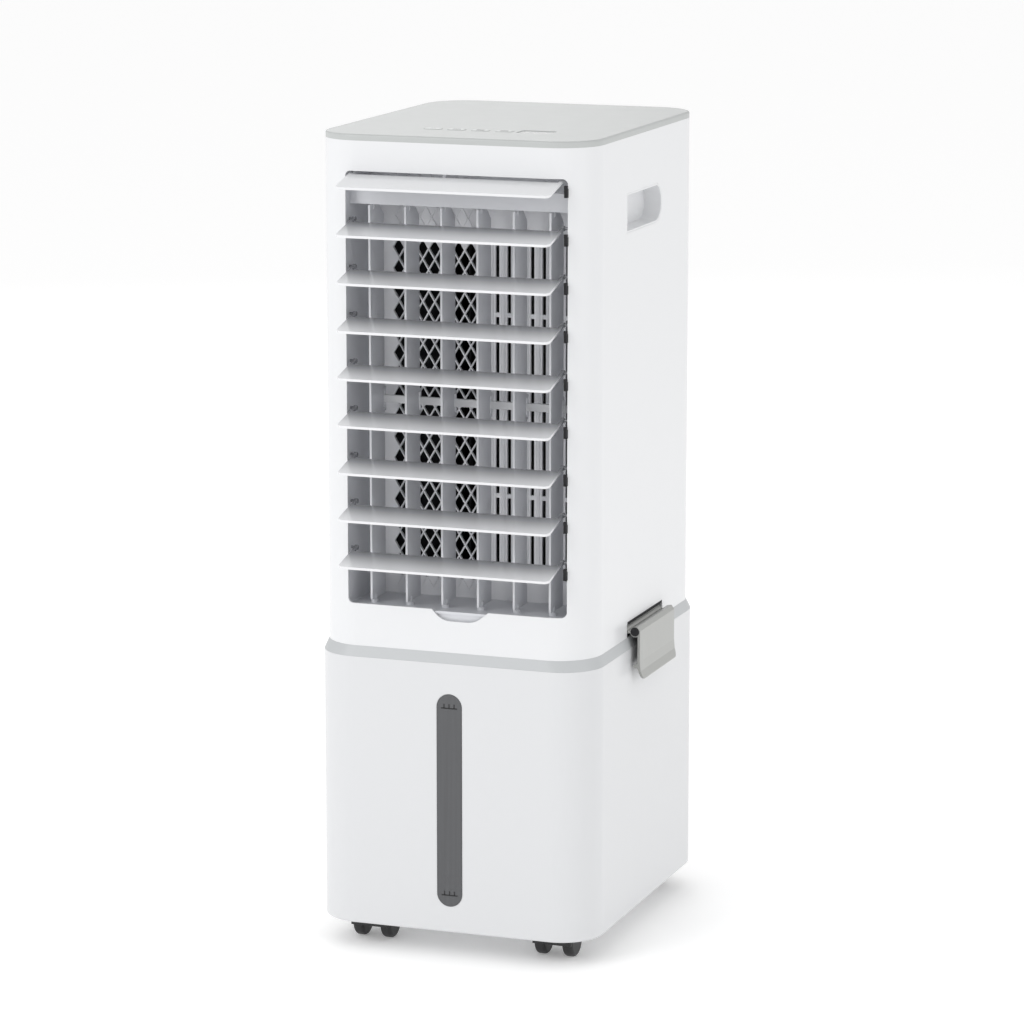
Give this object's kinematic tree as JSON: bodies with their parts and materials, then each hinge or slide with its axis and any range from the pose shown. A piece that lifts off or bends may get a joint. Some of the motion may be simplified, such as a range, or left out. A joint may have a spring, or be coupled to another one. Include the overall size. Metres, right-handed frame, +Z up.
{
  "type": "evaporative tower cooler",
  "caption": "Upright evaporative air cooler: a blower head with tilting louvers and swinging vanes latched on a wheeled water tank with a level window.",
  "frame": {"origin": "on the floor under the middle of the whole object's bounding box, louvers included", "axes": "+Z up, the louvered outlet faces -Y, +X to its right seen from the front"},
  "size_m": [0.3014, 0.3692, 0.7755],
  "materials": {
    "shell_white": "satin moulded ABS",
    "lid_grey": "smooth satin",
    "rim_grey": "satin",
    "window_smoke": "smoked clear plastic",
    "louver_grey": "gloss",
    "outlet_grey": "satin",
    "latch_grey": "satin",
    "key_grey": "satin",
    "display_smoke": "gloss",
    "caster_black": "gloss",
    "caster_tyre": "matt nylon",
    "inner_white": "moulded",
    "blower_black": "matt",
    "motor_steel": "zinc plated",
    "screw_steel": "zinc plated",
    "pad_paper": "corrugated cellulose",
    "filter_mesh": "woven nylon",
    "hose_clear": "silicone",
    "board_green": "circuit board",
    "rubber_black": "matt"
  },
  "bodies": {
    "tank": {"tank": "shell_white", "rim_band": "rim_grey", "level_window": "window_smoke"},
    "drain_plug": {"drain_plug": "rubber_black"},
    "head": {"front_shell": "shell_white", "rear_shell": "shell_white", "head_base": "inner_white", "top_cover": "lid_grey", "handle_cups": "shell_white", "casing_screws": "screw_steel", "power_gland": "rubber_black", "outlet_frame": "outlet_grey", "outlet_guard": "outlet_grey", "swing_motor": "motor_steel", "blower_casing": "blower_black", "blower_motor": "motor_steel", "top_bearing": "motor_steel", "pad_frame": "inner_white", "cooling_pad": "pad_paper", "water_distributor": "inner_white", "water_hose": "hose_clear", "pump_body": "inner_white", "pump_strainer": "inner_white", "control_board": "board_green", "display_lens": "display_smoke"},
    "caster_1": {"caster_1_fork": "caster_black"},
    "caster_1_roll": {"caster_1_wheels": "caster_tyre"},
    "key_1": {"key_1": "key_grey"},
    "caster_2": {"caster_2_fork": "caster_black"},
    "caster_2_roll": {"caster_2_wheels": "caster_tyre"},
    "key_2": {"key_2": "key_grey"},
    "caster_3": {"caster_3_fork": "caster_black"},
    "caster_3_roll": {"caster_3_wheels": "caster_tyre"},
    "key_3": {"key_3": "key_grey"},
    "caster_4": {"caster_4_fork": "caster_black"},
    "caster_4_roll": {"caster_4_wheels": "caster_tyre"},
    "key_4": {"key_4": "key_grey"},
    "louver_1": {"louver_1": "shell_white"},
    "louver_2": {"louver_2": "louver_grey"},
    "louver_3": {"louver_3": "louver_grey"},
    "louver_4": {"louver_4": "louver_grey"},
    "louver_5": {"louver_5": "louver_grey"},
    "louver_6": {"louver_6": "louver_grey"},
    "louver_7": {"louver_7": "louver_grey"},
    "louver_8": {"louver_8": "louver_grey"},
    "louver_9": {"louver_9": "louver_grey"},
    "vane_1": {"vane_1": "outlet_grey"},
    "vane_2": {"vane_2": "outlet_grey"},
    "vane_3": {"vane_3": "outlet_grey"},
    "vane_4": {"vane_4": "outlet_grey"},
    "vane_5": {"vane_5": "outlet_grey"},
    "vane_6": {"vane_6": "outlet_grey"},
    "louver_link": {"louver_link": "outlet_grey"},
    "vane_link": {"vane_link": "shell_white"},
    "blower_wheel": {"blower_wheel": "blower_black"},
    "pump_impeller": {"pump_impeller": "inner_white"},
    "latch_left": {"latch_left": "latch_grey"},
    "latch_right": {"latch_right": "latch_grey"},
    "rear_grille": {"rear_grille": "shell_white", "dust_filter": "filter_mesh"}
  },
  "joints": [
    {"name": "head_lift", "type": "slide", "parent": "tank", "child": "head", "axis": [0, 0, 1], "range_m": [0, 0.24]},
    {"name": "drain_plug_pull", "type": "slide", "parent": "tank", "child": "drain_plug", "axis": [0, 0, -1], "range_m": [0, 0.012]},
    {"name": "caster_1_swivel", "type": "hinge", "parent": "tank", "child": "caster_1", "pos_m": [-0.092, -0.11791, 0.025], "axis": [0, 0, 1], "continuous": true},
    {"name": "caster_1_spin", "type": "hinge", "parent": "caster_1", "child": "caster_1_roll", "pos_m": [-0.092, -0.10991, 0.016], "axis": [1, 0, 0], "continuous": true},
    {"name": "caster_2_swivel", "type": "hinge", "parent": "tank", "child": "caster_2", "pos_m": [0.092, -0.11791, 0.025], "axis": [0, 0, 1], "continuous": true},
    {"name": "caster_2_spin", "type": "hinge", "parent": "caster_2", "child": "caster_2_roll", "pos_m": [0.092, -0.10991, 0.016], "axis": [1, 0, 0], "continuous": true},
    {"name": "caster_3_swivel", "type": "hinge", "parent": "tank", "child": "caster_3", "pos_m": [-0.092, 0.14209, 0.025], "axis": [0, 0, 1], "continuous": true},
    {"name": "caster_3_spin", "type": "hinge", "parent": "caster_3", "child": "caster_3_roll", "pos_m": [-0.092, 0.15009, 0.016], "axis": [1, 0, 0], "continuous": true},
    {"name": "caster_4_swivel", "type": "hinge", "parent": "tank", "child": "caster_4", "pos_m": [0.092, 0.14209, 0.025], "axis": [0, 0, 1], "continuous": true},
    {"name": "caster_4_spin", "type": "hinge", "parent": "caster_4", "child": "caster_4_roll", "pos_m": [0.092, 0.15009, 0.016], "axis": [1, 0, 0], "continuous": true},
    {"name": "louver_1_tilt", "type": "hinge", "parent": "head", "child": "louver_1", "pos_m": [0, -0.14041, 0.7392], "axis": [-1, 0, 0], "range_deg": [-52, 10]},
    {"name": "louver_2_tilt", "type": "hinge", "parent": "head", "child": "louver_2", "pos_m": [0, -0.14041, 0.695], "axis": [-1, 0, 0], "range_deg": [-52, 10]},
    {"name": "louver_3_tilt", "type": "hinge", "parent": "head", "child": "louver_3", "pos_m": [0, -0.14041, 0.6508], "axis": [-1, 0, 0], "range_deg": [-52, 10]},
    {"name": "louver_4_tilt", "type": "hinge", "parent": "head", "child": "louver_4", "pos_m": [0, -0.14041, 0.6066], "axis": [-1, 0, 0], "range_deg": [-52, 10]},
    {"name": "louver_5_tilt", "type": "hinge", "parent": "head", "child": "louver_5", "pos_m": [0, -0.14041, 0.5624], "axis": [-1, 0, 0], "range_deg": [-52, 10]},
    {"name": "louver_6_tilt", "type": "hinge", "parent": "head", "child": "louver_6", "pos_m": [0, -0.14041, 0.5182], "axis": [-1, 0, 0], "range_deg": [-52, 10]},
    {"name": "louver_7_tilt", "type": "hinge", "parent": "head", "child": "louver_7", "pos_m": [0, -0.14041, 0.474], "axis": [-1, 0, 0], "range_deg": [-52, 10]},
    {"name": "louver_8_tilt", "type": "hinge", "parent": "head", "child": "louver_8", "pos_m": [0, -0.14041, 0.4298], "axis": [-1, 0, 0], "range_deg": [-52, 10]},
    {"name": "louver_9_tilt", "type": "hinge", "parent": "head", "child": "louver_9", "pos_m": [0, -0.14041, 0.3856], "axis": [-1, 0, 0], "range_deg": [-52, 10]},
    {"name": "louver_link_pivot", "type": "hinge", "parent": "louver_1", "child": "louver_link", "pos_m": [-0.109, -0.13168, 0.74138], "axis": [-1, 0, 0], "range_deg": [-10, 52]},
    {"name": "vane_3_swing", "type": "hinge", "parent": "head", "child": "vane_3", "pos_m": [-0.0123, -0.13241, 0.525], "axis": [0, 0, 1], "range_deg": [-30, 30]},
    {"name": "vane_1_swing", "type": "hinge", "parent": "head", "child": "vane_1", "pos_m": [-0.0831, -0.13241, 0.525], "axis": [0, 0, 1], "range_deg": [-30, 30]},
    {"name": "vane_2_swing", "type": "hinge", "parent": "head", "child": "vane_2", "pos_m": [-0.0477, -0.13241, 0.525], "axis": [0, 0, 1], "range_deg": [-30, 30]},
    {"name": "vane_4_swing", "type": "hinge", "parent": "head", "child": "vane_4", "pos_m": [0.0231, -0.13241, 0.525], "axis": [0, 0, 1], "range_deg": [-30, 30]},
    {"name": "vane_5_swing", "type": "hinge", "parent": "head", "child": "vane_5", "pos_m": [0.0585, -0.13241, 0.525], "axis": [0, 0, 1], "range_deg": [-30, 30]},
    {"name": "vane_6_swing", "type": "hinge", "parent": "head", "child": "vane_6", "pos_m": [0.0939, -0.13241, 0.525], "axis": [0, 0, 1], "range_deg": [-30, 30]},
    {"name": "vane_link_pivot", "type": "hinge", "parent": "vane_3", "child": "vane_link", "pos_m": [-0.0123, -0.10541, 0.5225], "axis": [0, 0, 1], "range_deg": [-30, 30]},
    {"name": "blower_spin", "type": "hinge", "parent": "head", "child": "blower_wheel", "pos_m": [0.005, -0.00591, 0.525], "axis": [0, 0, 1], "continuous": true},
    {"name": "impeller_spin", "type": "hinge", "parent": "head", "child": "pump_impeller", "pos_m": [-0.06, 0.08009, 0.079], "axis": [0, 0, 1], "continuous": true},
    {"name": "rear_grille_tilt", "type": "hinge", "parent": "head", "child": "rear_grille", "pos_m": [0, 0.17509, 0.356], "axis": [-1, 0, 0], "range_deg": [0, 20]},
    {"name": "latch_left_swing", "type": "hinge", "parent": "head", "child": "latch_left", "pos_m": [-0.1295, 0.01609, 0.302], "axis": [0, 1, 0], "range_deg": [0, 40]},
    {"name": "latch_right_swing", "type": "hinge", "parent": "head", "child": "latch_right", "pos_m": [0.1295, 0.01609, 0.302], "axis": [0, -1, 0], "range_deg": [0, 40]},
    {"name": "key_1_press", "type": "slide", "parent": "head", "child": "key_1", "axis": [0, 0, -1], "range_m": [0, 0.0008], "stiffness_N_per_m": 1000, "springref_m": -0.0003},
    {"name": "key_2_press", "type": "slide", "parent": "head", "child": "key_2", "axis": [0, 0, -1], "range_m": [0, 0.0008], "stiffness_N_per_m": 1000, "springref_m": -0.0003},
    {"name": "key_3_press", "type": "slide", "parent": "head", "child": "key_3", "axis": [0, 0, -1], "range_m": [0, 0.0008], "stiffness_N_per_m": 1000, "springref_m": -0.0003},
    {"name": "key_4_press", "type": "slide", "parent": "head", "child": "key_4", "axis": [0, 0, -1], "range_m": [0, 0.0008], "stiffness_N_per_m": 1000, "springref_m": -0.0003}
  ],
  "couplings": [
    {"joint": "louver_2_tilt", "follows": "louver_1_tilt", "ratio": 1},
    {"joint": "louver_3_tilt", "follows": "louver_1_tilt", "ratio": 1},
    {"joint": "louver_4_tilt", "follows": "louver_1_tilt", "ratio": 1},
    {"joint": "louver_5_tilt", "follows": "louver_1_tilt", "ratio": 1},
    {"joint": "louver_6_tilt", "follows": "louver_1_tilt", "ratio": 1},
    {"joint": "louver_7_tilt", "follows": "louver_1_tilt", "ratio": 1},
    {"joint": "louver_8_tilt", "follows": "louver_1_tilt", "ratio": 1},
    {"joint": "louver_9_tilt", "follows": "louver_1_tilt", "ratio": 1},
    {"joint": "louver_link_pivot", "follows": "louver_1_tilt", "ratio": -1},
    {"joint": "vane_1_swing", "follows": "vane_3_swing", "ratio": 1},
    {"joint": "vane_2_swing", "follows": "vane_3_swing", "ratio": 1},
    {"joint": "vane_4_swing", "follows": "vane_3_swing", "ratio": 1},
    {"joint": "vane_5_swing", "follows": "vane_3_swing", "ratio": 1},
    {"joint": "vane_6_swing", "follows": "vane_3_swing", "ratio": 1},
    {"joint": "vane_link_pivot", "follows": "vane_3_swing", "ratio": -1}
  ]
}
